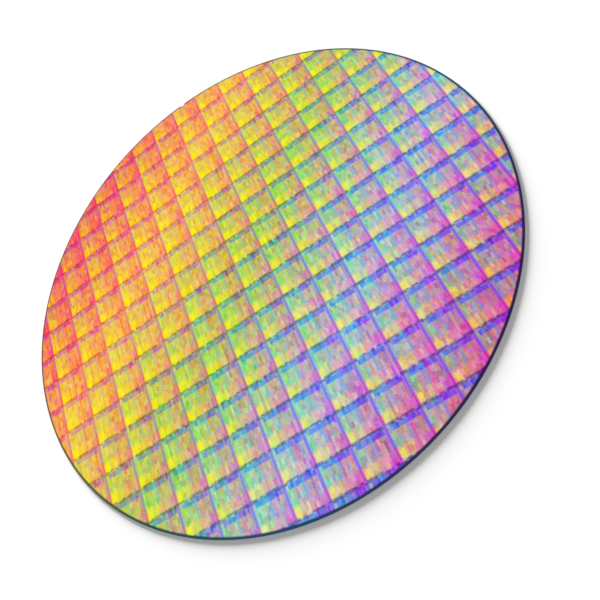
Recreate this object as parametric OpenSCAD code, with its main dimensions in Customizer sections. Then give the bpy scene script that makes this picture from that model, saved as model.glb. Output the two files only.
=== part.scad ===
// Silicon wafer, patterned on its front face.
// A thin round slice of single-crystal silicon with a bevelled, round-nosed
// edge, an alignment notch, and a square grid of dies parted by shallow streets.
// The origin is the centre of the back face. +Z leaves through the patterned
// face, and the notch is on +Y.

/* [Wafer] */
// Diameter over the edge
wafer_d = 200; // [100:1:300]
// Thickness from the back face to the tops of the dies
wafer_t = 0.725; // [0.4:0.005:1.2]

/* [Edge] */
// Width of the bevel ground on each face, measured along the radius
bevel_w = 0.38; // [0.15:0.01:0.5]
// Angle between the bevel and the face
bevel_angle = 22; // [15:1:25]

/* [Notch] */
// Depth of the notch, from the edge to its rounded bottom
notch_depth = 1; // [0.6:0.05:2.5]
// Angle between the two sides of the notch
notch_angle = 90; // [60:1:120]
// Radius of the notch's bottom
notch_r = 0.9; // [0.4:0.05:1.2]

/* [Dies] */
// Distance from one die to the next, the same along X and Y
die_pitch = 12.35; // [6:0.05:30]
// Place along X of the street crossing nearest the wafer's centre
grid_x = -5.65; // [-15:0.05:15]
// Place along Y of that street crossing
grid_y = 2.1; // [-15:0.05:15]
// Width of the street between two dies
street_w = 0.4; // [0.1:0.05:1]
// Depth of the streets below the tops of the dies
street_depth = 0.02; // [0.01:0.005:0.1]
// Width of the plain ring between the ends of the streets and the bevel
ring_w = 0.2; // [0.1:0.1:5]

/* [Hidden] */
$fn = 96;
wafer_r = wafer_d / 2;
mid_t = wafer_t / 2;
// A straight side ends this far inside the circle that it runs into at a
// tangent, so that the two cross cleanly.
tuck = 0.005;
// The nose is the circle that both bevels run into.
bevel_drop = bevel_w * tan(bevel_angle);
nose_r = (mid_t - bevel_drop) / cos(bevel_angle);
nose_x = wafer_r - nose_r;
flat_r = nose_x + nose_r * sin(bevel_angle) - bevel_w;
bevel_end_x = nose_x + (nose_r - tuck) * sin(bevel_angle);
bevel_end_z = mid_t - (nose_r - tuck) * cos(bevel_angle);
// The notch's bottom is the circle that both of its sides run into.
notch_y = wafer_r - notch_depth + notch_r;
notch_half = notch_angle / 2;
notch_end_x = (notch_r - tuck) * cos(notch_half);
notch_end_y = notch_y - (notch_r - tuck) * sin(notch_half);
notch_reach = notch_depth + notch_r;
notch_mouth_x = notch_end_x + notch_reach * tan(notch_half);
// Cuts run past the surfaces that they go through by this much.
past = 1;
grid_r = flat_r - ring_w;
// Places of the streets that cross an axis, from one side of the grid's circle
// to the other, with the crossing nearest the centre at a given place
function street_places(start) = [
    for (i = [-ceil(wafer_d / die_pitch) : ceil(wafer_d / die_pitch)])
        let (place = start + i * die_pitch)
        if (abs(place) < grid_r - street_w) place
];

// Half of the wafer's section, to the right of its axis
module edge_section() {
    polygon([
        [0, 0],
        [flat_r, 0],
        [bevel_end_x, bevel_end_z],
        [bevel_end_x, wafer_t - bevel_end_z],
        [flat_r, wafer_t],
        [0, wafer_t],
    ]);
    translate([nose_x, mid_t]) circle(r = nose_r);
}

// The notch from above, open past the edge
module notch_outline() {
    translate([0, notch_y]) circle(r = notch_r);
    polygon([
        [-notch_end_x, notch_end_y],
        [notch_end_x, notch_end_y],
        [notch_mouth_x, notch_end_y + notch_reach],
        [-notch_mouth_x, notch_end_y + notch_reach],
    ]);
}

// One street along Y, longer than the face is wide
module street() {
    square([street_w, wafer_d], center = true);
}

// All streets from above, ending at the plain ring
module street_grid() {
    intersection() {
        circle(r = grid_r);
        union() {
            for (x = street_places(grid_x)) translate([x, 0]) street();
            for (y = street_places(grid_y)) translate([0, y]) rotate(90) street();
        }
    }
}

module wafer() {
    color("goldenrod") difference() {
        rotate_extrude() edge_section();
        translate([0, 0, -past]) linear_extrude(wafer_t + 2 * past) notch_outline();
        translate([0, 0, wafer_t - street_depth]) linear_extrude(past) street_grid();
    }
}

wafer();
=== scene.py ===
import math

import bpy
import numpy as np
from mathutils import Matrix, Vector


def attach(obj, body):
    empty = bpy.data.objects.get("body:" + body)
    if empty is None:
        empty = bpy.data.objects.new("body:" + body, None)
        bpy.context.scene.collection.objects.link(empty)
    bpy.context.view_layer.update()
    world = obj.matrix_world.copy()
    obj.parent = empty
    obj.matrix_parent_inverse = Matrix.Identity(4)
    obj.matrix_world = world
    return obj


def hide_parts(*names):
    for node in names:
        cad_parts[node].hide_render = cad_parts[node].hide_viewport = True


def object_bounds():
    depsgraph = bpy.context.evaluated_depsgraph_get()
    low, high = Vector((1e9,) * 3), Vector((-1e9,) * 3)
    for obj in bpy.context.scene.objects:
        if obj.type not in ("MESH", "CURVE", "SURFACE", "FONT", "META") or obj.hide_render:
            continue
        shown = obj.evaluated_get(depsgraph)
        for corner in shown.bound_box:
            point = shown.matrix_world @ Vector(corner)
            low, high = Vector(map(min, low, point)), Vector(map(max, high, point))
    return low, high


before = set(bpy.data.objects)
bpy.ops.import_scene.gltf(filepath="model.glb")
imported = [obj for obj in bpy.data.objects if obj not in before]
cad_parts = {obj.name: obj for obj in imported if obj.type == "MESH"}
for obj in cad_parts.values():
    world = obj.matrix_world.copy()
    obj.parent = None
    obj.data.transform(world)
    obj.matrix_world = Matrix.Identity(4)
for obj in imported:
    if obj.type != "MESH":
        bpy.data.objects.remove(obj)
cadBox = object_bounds()
mm = 0.001  # everything below is in metres
radius = cadBox[1].x
thickness = cadBox[1].z
print("frame loaded: wafer", round(2 * radius / mm, 2), "mm across,", round(thickness / mm, 3), "mm thick")


def linear(hexColour):
    # sRGB hex to the linear values that shaders use
    parts = [int(hexColour[i:i + 2], 16) / 255 for i in (0, 2, 4)]
    return tuple(p / 12.92 if p <= 0.04045 else ((p + 0.055) / 1.055) ** 2.4 for p in parts) + (1.0,)


def addNode(tree, kind, inputs=None, stops=None, **settings):
    # One node: settings are its properties, inputs are values or the sockets that feed them,
    # and stops are a ramp's (place, colour) pairs
    node = tree.nodes.new(kind)
    for name, value in settings.items():
        setattr(node, name, value)
    for name, value in (inputs or {}).items():
        if isinstance(value, bpy.types.NodeSocket):
            tree.links.new(value, node.inputs[name])
        else:
            node.inputs[name].default_value = value
    if stops:
        elements = node.color_ramp.elements
        while len(elements) > 1:
            elements.remove(elements[-1])
        for k, (place, colour) in enumerate(stops):
            element = elements[0] if k == 0 else elements.new(place)
            element.position = place
            element.color = colour
    return node


wafer = dict(
    diePitch=12.35 * mm,
    gridX=-5.65 * mm,       # a street crossing, from the wafer's centre
    gridY=2.1 * mm,
    streetWidth=0.4 * mm,
    streetDepth=0.02 * mm,
    streetBank=0.15 * mm,   # how far each bank of a street slopes
    ringWidth=0.2 * mm,     # plain ring outside the streets
    channelWidth=0.14 * mm,  # grooves between the blocks of a die
    channelDepth=0.005 * mm,
    channelsAcross=(0.46, 0.52, 0.92),  # both sides of the spine and the margin, as shares of a die
    channelsUp=(0.34, 0.81),            # below the logic and the memory, from the lower street
    extraAcross=(0.23, 0.72),           # lines of the mesh with no groove, which keep its rim round
    extraUp=(0.17, 0.57),
    bevelWidth=0.38 * mm,
    bevelAngle=22,
    noseSteps=8,
    notchDepth=1.0 * mm,
    notchHalfAngle=45,
    notchRadius=0.9 * mm,
    notchBlend=5.0 * mm,    # how far in from the edge the mesh gives way to the notch
    notchFull=1.2 * mm,     # how far in from the edge it gives way all the way
    notchReach=2.4 * mm,    # finer lines run this far to each side of the notch
    notchStep=0.12 * mm,    # between the finer lines across
    notchRows=0.5 * mm,     # and between those along
    backRings=(0.97, 0.8, 0.55, 0.3, 0.1),
)

bevelDrop = wafer["bevelWidth"] * math.tan(math.radians(wafer["bevelAngle"]))
noseRadius = (thickness / 2 - bevelDrop) / math.cos(math.radians(wafer["bevelAngle"]))
flatRadius = radius - noseRadius * (1 - math.sin(math.radians(wafer["bevelAngle"]))) - wafer["bevelWidth"]
gridRadius = flatRadius - wafer["ringWidth"]


def dieLines(start, channels, extra):
    # Lines across the wafer in one direction, from edge to edge, and the surface's depth at each.
    # A street has four lines, for its two banks, and a channel has three, for its V.
    half = wafer["streetWidth"] / 2
    bottom = half - wafer["streetBank"]
    places = [-half, -bottom, bottom, half]
    depths = [0, wafer["streetDepth"], wafer["streetDepth"], 0]
    for share in channels:
        middle = share * wafer["diePitch"]
        places += [middle - wafer["channelWidth"] / 2, middle, middle + wafer["channelWidth"] / 2]
        depths += [0, wafer["channelDepth"], 0]
    places += [share * wafer["diePitch"] for share in extra]
    depths += [0] * len(extra)
    count = math.ceil(radius / wafer["diePitch"]) + 1
    dies = start + np.arange(-count, count + 1) * wafer["diePitch"]
    places = (dies[:, None] + np.array(places)[None]).ravel()
    depths = np.tile(depths, len(dies))
    inner = np.abs(places) < radius
    places = np.concatenate([[-radius], places[inner], [radius]])
    depths = np.concatenate([[0], depths[inner], [0]])
    order = np.argsort(places)
    return places[order], depths[order]


def withExtraLines(places, depths, extra):
    # The same lines with more between them, at the depth that the surface has there
    merged = np.unique(np.concatenate([places, extra]))
    return merged, np.interp(merged, places, depths)


def clippedGrid(xs, ys, limit):
    # The cells of a grid of lines that lie inside a circle, with the cells that it crosses cut
    # along it. A cell's outline is its corners and the points where the circle meets its sides,
    # in order: each of the eight is kept where it exists.
    nx, ny = len(xs), len(ys)
    gx, gy = np.meshgrid(xs, ys)
    inside = gx ** 2 + gy ** 2 < limit ** 2
    acrossX = np.sign(xs[:-1] + xs[1:])[None] * np.sqrt(np.maximum(limit ** 2 - ys ** 2, 0))[:, None]
    upY = np.sign(ys[:-1] + ys[1:])[:, None] * np.sqrt(np.maximum(limit ** 2 - xs ** 2, 0))[None]
    points = np.concatenate([
        np.stack([gx.ravel(), gy.ravel()], 1),
        np.stack([acrossX.ravel(), np.broadcast_to(ys[:, None], acrossX.shape).ravel()], 1),
        np.stack([np.broadcast_to(xs[None], upY.shape).ravel(), upY.ravel()], 1)])
    corner = np.arange(nx * ny).reshape(ny, nx)
    across = nx * ny + np.arange(ny * (nx - 1)).reshape(ny, nx - 1)
    up = nx * ny + across.size + np.arange((ny - 1) * nx).reshape(ny - 1, nx)
    cutAcross = inside[:, :-1] != inside[:, 1:]
    cutUp = inside[:-1] != inside[1:]
    slots = np.stack([corner[:-1, :-1], across[:-1], corner[:-1, 1:], up[:, 1:],
                      corner[1:, 1:], across[1:], corner[1:, :-1], up[:, :-1]], -1).reshape(-1, 8)
    there = np.stack([inside[:-1, :-1], cutAcross[:-1], inside[:-1, 1:], cutUp[:, 1:],
                      inside[1:, 1:], cutAcross[1:], inside[1:, :-1], cutUp[:, :-1]], -1).reshape(-1, 8)
    whole = there.sum(1) > 2
    corners, sizes = slots[whole][there[whole]], there[whole].sum(1)
    used, corners = np.unique(corners, return_inverse=True)
    rim = np.flatnonzero(used >= nx * ny)
    rim = rim[np.argsort(np.arctan2(points[used[rim], 1], points[used[rim], 0]))]
    return points[used], corners.ravel(), sizes, rim


def notchPull(x, y):
    # How far a point moves in along Y to open the notch: all the way at the edge, and less and
    # less towards the middle. The notch is a V with a round bottom.
    half = math.radians(wafer["notchHalfAngle"])
    middle = radius - wafer["notchDepth"] + wafer["notchRadius"]
    touch = wafer["notchRadius"] * math.cos(half)
    arc = middle - np.sqrt(np.maximum(wafer["notchRadius"] ** 2 - x ** 2, 0))
    side = middle - wafer["notchRadius"] * math.sin(half) + (np.abs(x) - touch) / math.tan(half)
    outline = np.where(np.abs(x) < touch, arc, side)
    pull = np.maximum(np.sqrt(np.maximum(radius ** 2 - x ** 2, 0)) - outline, 0)
    share = np.clip((y - radius + wafer["notchBlend"]) / (wafer["notchBlend"] - wafer["notchFull"]), 0, 1)
    return pull * share * share * (3 - 2 * share)


def edgeProfile():
    # Radius and height along the edge: flat, bevel, nose, bevel, and in over the back
    turn = math.radians(90 - wafer["bevelAngle"])
    angles = np.linspace(turn, -turn, wafer["noseSteps"] + 1)
    nose = np.stack([radius - noseRadius + noseRadius * np.cos(angles),
                     thickness / 2 + noseRadius * np.sin(angles)], 1)
    back = np.array([[flatRadius, 0.0]] + [[share * radius, 0.0] for share in wafer["backRings"]])
    return np.concatenate([[[flatRadius, thickness]], nose, back])


def waferMesh():
    # The patterned face is a relief on a grid of lines: the depth at a crossing is the deeper of
    # its two lines' depths. The edge and back are one profile carried round the face's rim.
    xs, xDepths = dieLines(wafer["gridX"], wafer["channelsAcross"], wafer["extraAcross"])
    ys, yDepths = dieLines(wafer["gridY"], wafer["channelsUp"], wafer["extraUp"])
    nearNotch = np.arange(-wafer["notchReach"], wafer["notchReach"], wafer["notchStep"])
    rowsNearNotch = radius + np.arange(-wafer["notchBlend"], -wafer["notchRows"], wafer["notchRows"])
    xs, xDepths = withExtraLines(xs, xDepths, nearNotch)
    ys, yDepths = withExtraLines(ys, yDepths, rowsNearNotch)
    face, corners, sizes, rim = clippedGrid(xs, ys, gridRadius)
    depth = np.maximum(np.interp(face[:, 0], xs, xDepths), np.interp(face[:, 1], ys, yDepths))
    depth[rim] = 0  # the streets end at the plain ring
    face = np.column_stack([face, thickness - depth])

    profile = edgeProfile()
    angles = np.arctan2(face[rim, 1], face[rim, 0])
    rings = np.stack([profile[:, :1] * np.cos(angles), profile[:, :1] * np.sin(angles),
                      np.broadcast_to(profile[:, 1:], (len(profile), len(rim)))], -1).reshape(-1, 3)
    vertices = np.concatenate([face, rings, [[0, 0, 0]]])
    vertices[:, 1] -= notchPull(vertices[:, 0], vertices[:, 1]) * (vertices[:, 1] > 0)

    loops = np.concatenate([rim[None], len(face) + np.arange(len(rings)).reshape(len(profile), -1)])
    onward = np.roll(loops, -1, 1)
    bands = np.stack([loops[:-1], loops[1:], onward[1:], onward[:-1]], -1).reshape(-1, 4)
    pole = len(vertices) - 1
    cap = np.stack([loops[-1], np.full(len(rim), pole), onward[-1]], -1)
    allCorners = np.concatenate([corners, bands.ravel(), cap.ravel()])
    allSizes = np.concatenate([sizes, np.full(len(bands), 4), np.full(len(cap), 3)])

    # Material slots: 0 is the patterned films, 1 the plain ring and the edge, and 2 the back
    bandSlots = np.repeat([1] * (wafer["noseSteps"] + 3) + [2] * len(wafer["backRings"]), len(rim))
    slots = np.concatenate([np.zeros(len(sizes), int), bandSlots, np.full(len(cap), 2)])
    return vertices, allCorners, allSizes, slots


uvMap = dict(
    faceSize=0.47,  # radius of the patterned face's disc
    edgeRing=0.02,  # width of the ring for the edge
    backPlace=0.07,
    backSize=0.065,
)


def mapPlaces(vertices, corners, faceSlots):
    # The UV map: the patterned face fills the middle, the edge is a ring round it, and the back
    # is a small disc in a corner
    x, y, z = vertices[corners].T
    away = np.hypot(x, y)
    edge = (faceSlots == 1) * np.clip(1 - z / thickness, 0, 1) * uvMap["edgeRing"]
    outward = np.divide(edge, away, out=np.zeros_like(edge), where=away > 0)
    spread = uvMap["faceSize"] / radius + outward
    face = np.stack([0.5 + x * spread, 0.5 + y * spread], 1)
    scale = uvMap["backSize"] / radius
    back = np.stack([uvMap["backPlace"] - x * scale, uvMap["backPlace"] + y * scale], 1)
    return np.where((faceSlots == 2)[:, None], back, face)


def makeWafer():
    vertices, corners, sizes, slots = waferMesh()
    mesh = bpy.data.meshes.new("waferSlice")
    mesh.vertices.add(len(vertices))
    mesh.vertices.foreach_set("co", vertices.astype(np.float32).ravel())
    mesh.loops.add(len(corners))
    mesh.loops.foreach_set("vertex_index", corners.astype(np.int32))
    mesh.polygons.add(len(sizes))
    mesh.polygons.foreach_set("loop_start", (np.cumsum(sizes) - sizes).astype(np.int32))
    mesh.polygons.foreach_set("material_index", slots.astype(np.int32))
    mesh.polygons.foreach_set("use_smooth", slots == 1)
    mesh.update(calc_edges=True)
    places = mapPlaces(vertices, corners, np.repeat(slots, sizes))
    mesh.uv_layers.new(name="OFBake").uv.foreach_set("vector", places.astype(np.float32).ravel())
    mesh.validate()
    piece = bpy.data.objects.new("waferSlice", mesh)
    bpy.context.scene.collection.objects.link(piece)
    print("wafer:", len(sizes), "faces,", int((sizes - 2).sum()), "triangles")
    return piece


# Thin glass and metal films on polished silicon, etched into lines finer than light's wavelength:
# hard and smooth, they split white light, so each block has a colour of its own and all of them
# turn through the spectrum across the wafer.
films = dict(
    spectrum=("e08882", "e8b87c", "b8c08c", "b0b4c8", "bc8ab0"),  # across the wafer, lower right last
    palette=dict(  # the films' own colours, before the spectrum turns them
        neutral="bcbcbc",
        leaf="a0e494",
        sage="bcd0a8",
        lemon="ffff33",
        straw="e8e470",
        dustyPink="ccb0a8",
        peach="f0bca4",
        orchid="e480c8",
        sky="80c4e0",
        azure="34a8ec",
        violet="8064f0",
        periwinkle="7c84f4",
        magenta="d848b8",
        teal="489cb4",
        grape="8058ac",
        white="ffffff",
    ),
    roughness=0.2,
    blockSoftness=0.14,    # of a block's sides, as a share of a die
    lineSoftness=0.03,
    padSoftness=0.06,
    columns=13,            # of cells in a die; real ones are hundreds of times finer, too fine to show
    cellsInColumn=6,
    columnShare=0.3,       # how alike the cells of a column are
    cellDepth=0.55,        # how much the cells change a film's colour
    specks=(28, 17),       # smaller cells, across and down a die
    speckDepth=0.14,
    pads=11,               # test pads along a die's side of a street
    padRange=(0.25, 0.9),  # shares of the pads: darkest below the first, clear above the second
    rimPaintedShadeWidth=0.5 * mm,     # how far in from the face's rim the films' colour is darkened, as painted shade
    # painted shade: the grey that the films' colour is multiplied by at the face's rim
    rimPaintedShade="a0a0a0",
)

# The blocks of a die, as shares of it: left, right, top and bottom, measured from its upper left
# corner, and the film there. Later ones lie over earlier ones. The first list is filled with
# columns of cells.
cellBlocks = (
    (0.00, 0.48, 0.00, 0.66, "leaf"),       # logic
    (0.20, 0.48, 0.16, 0.66, "sage"),
    (0.50, 0.94, 0.00, 0.66, "dustyPink"),
    (-0.1, 0.24, 0.66, 1.10, "lemon"),      # power, left to right
    (0.24, 0.48, 0.66, 1.10, "straw"),
    (0.48, 0.74, 0.66, 1.10, "peach"),
    (0.74, 0.96, 0.66, 1.10, "orchid"),
)
plainBlocks = (
    (0.46, 0.52, 0.00, 0.62, "sky"),         # spine
    (0.46, 0.52, 0.62, 1.00, "peach"),
    (0.92, 1.00, 0.00, 0.65, "periwinkle"),  # right margin and column street
    (0.935, 1.00, 0.60, 1.00, "magenta"),
    (0.00, 0.02, 0.00, 0.65, "sky"),
    (0.00, 0.02, 0.65, 1.00, "orchid"),
    (0.08, 0.54, 0.05, 0.19, "azure"),       # memory
    (0.54, 0.90, 0.05, 0.19, "violet"),
    (0.02, 0.50, 0.97, 1.00, "sky"),         # row street
    (0.50, 0.98, 0.97, 1.00, "periwinkle"),
    (0.02, 0.50, 0.00, 0.05, "sky"),
    (0.50, 0.98, 0.00, 0.05, "periwinkle"),
)
quietBlocks = (  # where there are no columns of cells
    (0.46, 0.52, 0.00, 1.00, "neutral"),
    (0.91, 1.00, 0.00, 1.00, "neutral"),
    (0.00, 0.02, 0.00, 1.00, "neutral"),
)
padBlocks = (  # the streets that have test pads
    (-0.1, 0.50, 0.95, 1.10, "teal"),
    (0.50, 1.10, 0.95, 1.10, "grape"),
    (-0.1, 0.50, -0.10, 0.05, "teal"),
    (0.50, 1.10, -0.10, 0.05, "grape"),
)


def layBlocks(tree, inDie, colour, blocks, soft):
    # Blocks over a colour: each one's mask is how far a point is inside its nearest side, over
    # the softness of the sides
    for left, right, top, bottom, film in blocks:
        middle = ((left + right) / 2, (top + bottom) / 2, 0)
        reach = ((right - left) / 2 / soft + 0.5, (bottom - top) / 2 / soft + 0.5, 0)
        offset = addNode(tree, "ShaderNodeVectorMath", {0: inDie, 1: middle},
                         operation="SUBTRACT").outputs[0]
        offset = addNode(tree, "ShaderNodeVectorMath", {0: offset}, operation="ABSOLUTE").outputs[0]
        within = addNode(tree, "ShaderNodeVectorMath", {0: offset, 1: (-1 / soft, -1 / soft, 0), 2: reach},
                         operation="MULTIPLY_ADD").outputs[0]
        within = addNode(tree, "ShaderNodeSeparateXYZ", {0: within}).outputs
        mask = addNode(tree, "ShaderNodeMath", {0: within["X"], 1: within["Y"]}, operation="MINIMUM",
                       use_clamp=True).outputs[0]
        colour = addNode(tree, "ShaderNodeMix",
                         {"Factor": mask, "A": colour, "B": linear(films["palette"][film])},
                         data_type="RGBA").outputs["Result"]
    return colour


def randomTiles(tree, dies, counts, offset=None):
    # A random number and colour for each tile, with so many tiles across and down a die. An offset
    # slides the tiles of a column.
    scale = {0: dies, 1: (*counts, 0)}
    tiles = addNode(tree, "ShaderNodeVectorMath", scale, operation="MULTIPLY").outputs[0]
    if offset:
        tiles = addNode(tree, "ShaderNodeVectorMath", {0: tiles, 1: offset}, operation="ADD").outputs[0]
    tiles = addNode(tree, "ShaderNodeVectorMath", {0: tiles}, operation="FLOOR").outputs[0]
    return addNode(tree, "ShaderNodeTexWhiteNoise", dict(Vector=tiles), noise_dimensions="2D").outputs


def spectrumColour(tree, place, spectrum):
    # Colours spaced evenly along the wafer's diagonal, from rim to rim
    along = addNode(tree, "ShaderNodeVectorMath", {0: place, 1: (math.sqrt(0.5), -math.sqrt(0.5), 0)},
                    operation="DOT_PRODUCT").outputs["Value"]
    share = addNode(tree, "ShaderNodeMapRange",
                    {"Value": along, "From Min": -radius, "From Max": radius}).outputs[0]
    stops = [(k / (len(spectrum) - 1), linear(colour)) for k, colour in enumerate(spectrum)]
    return addNode(tree, "ShaderNodeValToRGB", dict(Fac=share), stops).outputs[0]


def newMaterial(name):
    material = bpy.data.materials.new(name)
    material.use_nodes = True
    material.node_tree.nodes.clear()
    return material, material.node_tree, addNode(material.node_tree, "ShaderNodeTexCoord").outputs["Object"]


def finishMaterial(tree, inputs):
    shader = addNode(tree, "ShaderNodeBsdfPrincipled", inputs)
    addNode(tree, "ShaderNodeOutputMaterial", dict(Surface=shader.outputs[0]))


def filmMaterial():
    material, tree, place = newMaterial("patternedFilmsOnSilicon")
    pitch = wafer["diePitch"]
    toDies = dict(Vector=place, Location=(-wafer["gridX"] / pitch, wafer["gridY"] / pitch, 0),
                  Scale=(1 / pitch, -1 / pitch, 0))
    dies = addNode(tree, "ShaderNodeMapping", toDies).outputs[0]
    inDie = addNode(tree, "ShaderNodeVectorMath", {0: dies}, operation="FRACTION").outputs[0]

    # The cells catch the light a little differently in each die
    columns = randomTiles(tree, dies, (films["columns"], 1))
    slide = addNode(tree, "ShaderNodeCombineXYZ", dict(Y=columns["Value"])).outputs[0]
    cells = randomTiles(tree, dies, (films["columns"], films["cellsInColumn"]), slide)["Color"]
    cells = addNode(tree, "ShaderNodeMix",
                    {"Factor": films["columnShare"], "A": cells, "B": columns["Color"]},
                    data_type="RGBA").outputs["Result"]
    cells = layBlocks(tree, inDie, cells, quietBlocks, films["lineSoftness"])
    specks = randomTiles(tree, dies, films["specks"])["Color"]

    # Test pads, some dark and some clear, stand in a row along each street
    pads = randomTiles(tree, dies, (films["pads"], 1))["Value"]
    darkest, clear = films["padRange"]
    pads = addNode(tree, "ShaderNodeMapRange",
                   {"Value": pads, "From Min": darkest, "From Max": clear}).outputs[0]
    streets = layBlocks(tree, inDie, linear(films["palette"]["white"]), padBlocks, films["padSoftness"])
    streets = addNode(tree, "ShaderNodeMix", {"Factor": 1.0, "A": streets, "B": pads},
                      data_type="RGBA", blend_type="LIGHTEN").outputs["Result"]

    blocks = layBlocks(tree, inDie, linear(films["palette"]["neutral"]), cellBlocks, films["blockSoftness"])
    blocks = layBlocks(tree, inDie, blocks, plainBlocks, films["lineSoftness"])
    blocks = addNode(tree, "ShaderNodeMix", {"Factor": 1.0, "A": blocks, "B": streets},
                     data_type="RGBA", blend_type="MULTIPLY").outputs["Result"]
    colour = spectrumColour(tree, place, films["spectrum"])
    for layer, depth in ((blocks, 1.0), (cells, films["cellDepth"]), (specks, films["speckDepth"])):
        colour = addNode(tree, "ShaderNodeMix", {"Factor": depth, "A": colour, "B": layer},
                         data_type="RGBA", blend_type="SOFT_LIGHT").outputs["Result"]
    deeper = addNode(tree, "ShaderNodeMix", {"Factor": 1.0, "A": colour, "B": colour},
                     data_type="RGBA", blend_type="SOFT_LIGHT").outputs["Result"]

    # Painted shade: the films' colour is darkened a little at the rim of the face, beside the dark edge
    flat = addNode(tree, "ShaderNodeVectorMath", {0: place, 1: (1, 1, 0)}, operation="MULTIPLY").outputs[0]
    away = addNode(tree, "ShaderNodeVectorMath", {0: flat}, operation="LENGTH").outputs["Value"]
    paintedShadeAtRim = addNode(tree, "ShaderNodeMapRange",
                    {"Value": away, "From Min": gridRadius - films["rimPaintedShadeWidth"], "From Max": gridRadius},
                    interpolation_type="SMOOTHSTEP").outputs[0]
    colour = addNode(tree, "ShaderNodeMix",
                     {"Factor": paintedShadeAtRim, "A": deeper, "B": linear(films["rimPaintedShade"])},
                     data_type="RGBA", blend_type="MULTIPLY").outputs["Result"]
    finishMaterial(tree, {"Base Color": colour, "Metallic": 1.0, "Roughness": films["roughness"]})
    return material


edge = dict(
    spectrum=("8c3c44", "705828", "285840", "24486c", "301c50"),  # as on the face, far darker: painted shade on the edge
    stains=2 * mm,
    roughness=(0.2, 0.36),
)


def edgeMaterial():
    # Silicon ground and etched smooth, under the first films: glassy, with stains of the etch that dull it
    # here and
    # there. Its colour is painted shade: the spectrum's colours, far darker, so that the edge looks dark.
    material, tree, place = newMaterial("polishedSiliconEdge")
    stains = addNode(tree, "ShaderNodeTexNoise", dict(Vector=place, Scale=1 / edge["stains"])).outputs[0]
    rough = addNode(tree, "ShaderNodeMapRange",
                    {"Value": stains, "To Min": edge["roughness"][0], "To Max": edge["roughness"][1]})
    # painted shade: the face's spectrum, far darker, as the edge's colour
    colour = spectrumColour(tree, place, edge["spectrum"])
    finishMaterial(tree, {"Base Color": colour, "Metallic": 1.0, "Roughness": rough.outputs[0]})
    return material


back = dict(
    darker="6c6f76",
    lighter="8b8e95",
    shades=(0.3, 0.7),   # where the noise is darkest and lightest
    swirl=0.9,           # turn of an arc from the centre to the edge, in radians
    arcs=90,             # round the wafer; real ones are finer than 0.1 mm, too fine to show
    arcDetail=3.0,       # finer arcs among them, and how strong those are
    arcFineness=0.7,
    roughness=(0.36, 0.5),
    arcDepth=0.004 * mm,
)


def backMaterial():
    # Silicon thinned on a grinding wheel: dull grey, with fine arcs from the centre to the edge.
    # A point is turned about the centre by its distance from it, and noise on its direction from
    # there is the same all along an arc.
    material, tree, place = newMaterial("groundSiliconBack")
    away = addNode(tree, "ShaderNodeVectorMath", {0: place}, operation="LENGTH").outputs["Value"]
    turn = addNode(tree, "ShaderNodeMath", {0: away, 1: back["swirl"] / radius},
                   operation="MULTIPLY").outputs[0]
    turned = addNode(tree, "ShaderNodeVectorRotate", dict(Vector=place, Angle=turn), rotation_type="Z_AXIS")
    flat = addNode(tree, "ShaderNodeVectorMath", {0: turned.outputs[0], 1: (1, 1, 0)},
                   operation="MULTIPLY").outputs[0]
    towards = addNode(tree, "ShaderNodeVectorMath", {0: flat}, operation="NORMALIZE").outputs[0]
    arcs = addNode(tree, "ShaderNodeTexNoise",
                   dict(Vector=towards, Scale=back["arcs"] / math.tau, Detail=back["arcDetail"],
                        Roughness=back["arcFineness"])).outputs[0]
    ends = [(at, linear(back[name])) for at, name in zip(back["shades"], ("darker", "lighter"))]
    colour = addNode(tree, "ShaderNodeValToRGB", dict(Fac=arcs), ends).outputs[0]
    rough = addNode(tree, "ShaderNodeMapRange",
                    {"Value": arcs, "To Min": back["roughness"][0], "To Max": back["roughness"][1]})
    bump = addNode(tree, "ShaderNodeBump", dict(Height=arcs, Distance=back["arcDepth"])).outputs[0]
    finishMaterial(tree, {"Base Color": colour, "Metallic": 1.0, "Roughness": rough.outputs[0],
                          "Normal": bump})
    return material


waferPiece = makeWafer()
for material in (filmMaterial(), edgeMaterial(), backMaterial()):
    waferPiece.data.materials.append(material)
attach(waferPiece, "root")
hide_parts("wafer")
print("materials made:", ", ".join(material.name for material in waferPiece.data.materials))


studio = dict(
    floorSize=40 * radius,
    floorColour="e8e8e8",
    floorGlow=0.22,     # added only where the floor is seen, so that it looks white
    worldColour="ffffff",
    worldLight=0.15,
    keyStrength=16.0,   # so low a lamp then lights the floor at a plain level
    keySpread=18,       # degrees across, as a large lamp is from here
    keyFrom=(-0.55, 2.70, 0.46),  # low, so that so thin a thing casts a shadow
)


def seenRays(tree):
    # 1 for a ray from the eye, in a reflection or through glass, and 0 for one that only lights
    rays = addNode(tree, "ShaderNodeLightPath").outputs
    seen = addNode(tree, "ShaderNodeMath", {0: rays["Is Glossy Ray"], 1: rays["Is Transmission Ray"]},
                   operation="MAXIMUM").outputs[0]
    return addNode(tree, "ShaderNodeMath", {0: seen, 1: rays["Is Camera Ray"]},
                   operation="MAXIMUM").outputs[0]


def makeFloor():
    half = studio["floorSize"] / 2
    mesh = bpy.data.meshes.new("floor")
    corners = [(-half, -half, 0), (half, -half, 0), (half, half, 0), (-half, half, 0)]
    mesh.from_pydata(corners, [], [(0, 1, 2, 3)])
    floor = bpy.data.objects.new("floor", mesh)
    bpy.context.scene.collection.objects.link(floor)
    material = bpy.data.materials.new("paleFloor")
    material.use_nodes = True
    tree = material.node_tree
    tree.nodes.clear()
    strength = addNode(tree, "ShaderNodeMath", {0: seenRays(tree), 1: studio["floorGlow"]},
                       operation="MULTIPLY").outputs[0]
    plain = addNode(tree, "ShaderNodeBsdfDiffuse", dict(Color=linear(studio["floorColour"]))).outputs[0]
    glow = addNode(tree, "ShaderNodeEmission", dict(Strength=strength)).outputs[0]
    both = addNode(tree, "ShaderNodeAddShader", {0: plain, 1: glow}).outputs[0]
    addNode(tree, "ShaderNodeOutputMaterial", dict(Surface=both))
    mesh.materials.append(material)


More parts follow.
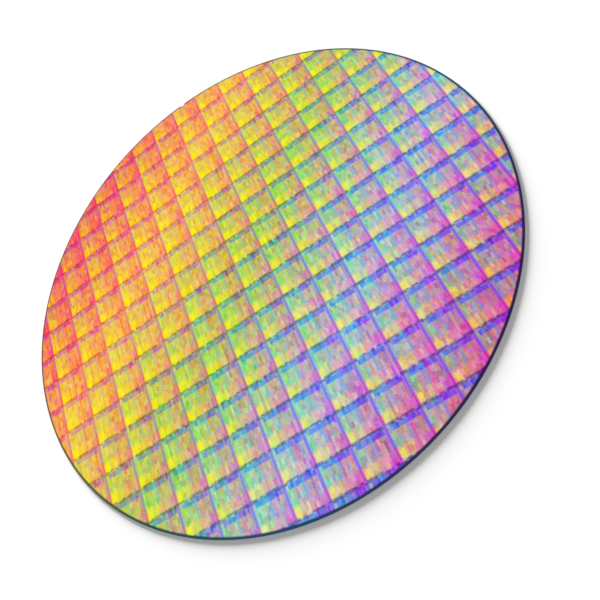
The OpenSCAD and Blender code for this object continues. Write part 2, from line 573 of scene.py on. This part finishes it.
def makeWorld():
    # White all round to the eye and in reflections, and dimmer where it lights the floor
    world = bpy.data.worlds.new("studio")
    bpy.context.scene.world = world
    world.use_nodes = True
    tree = world.node_tree
    tree.nodes.clear()
    strength = addNode(tree, "ShaderNodeMapRange",
                       {"Value": seenRays(tree), "To Min": studio["worldLight"]}).outputs[0]
    background = addNode(tree, "ShaderNodeBackground",
                         dict(Color=linear(studio["worldColour"]), Strength=strength)).outputs[0]
    addNode(tree, "ShaderNodeOutputWorld", dict(Surface=background))


def makeLights():
    # A parallel light, so that the floor is as bright far off as it is near
    lamp = bpy.data.lights.new("key", "SUN")
    lamp.angle = math.radians(studio["keySpread"])
    lamp.energy = studio["keyStrength"]
    key = bpy.data.objects.new("key", lamp)
    key.location = studio["keyFrom"]
    key.rotation_euler = (-key.location).to_track_quat("-Z", "Y").to_euler()
    key.visible_camera = False
    key.visible_glossy = False
    bpy.context.scene.collection.objects.link(key)


view = dict(
    lens=42.2,
    azimuth=18.2,
    elevation=48.0,
    distance=2.647,        # from the centre of the face, in radii of the wafer
    aim=(0.1145, -0.279),  # the point on the face at the middle of the view, in radii
    roll=-46.3,
    clipStart=0.01,
    clipEnd=50,
)


def makeCamera():
    camera = bpy.data.objects.new("camera", bpy.data.cameras.new("camera"))
    camera.data.lens = view["lens"]
    camera.data.clip_start = view["clipStart"]
    camera.data.clip_end = view["clipEnd"]
    a, e = math.radians(view["azimuth"]), math.radians(view["elevation"])
    outward = Vector((math.sin(a) * math.cos(e), -math.cos(a) * math.cos(e), math.sin(e)))
    face = Vector((0, 0, thickness))
    place = face + outward * view["distance"] * radius
    aim = face + Vector((*view["aim"], 0)) * radius
    turn = (aim - place).to_track_quat("-Z", "Y").to_matrix().to_4x4()
    roll = Matrix.Rotation(math.radians(view["roll"]), 4, "Z")
    camera.matrix_world = Matrix.Translation(place) @ turn @ roll
    bpy.context.scene.collection.objects.link(camera)
    bpy.context.scene.camera = camera


makeFloor()
makeWorld()
makeLights()
makeCamera()
bpy.context.scene.view_settings.view_transform = "Standard"
print("floor, world, light and camera made")
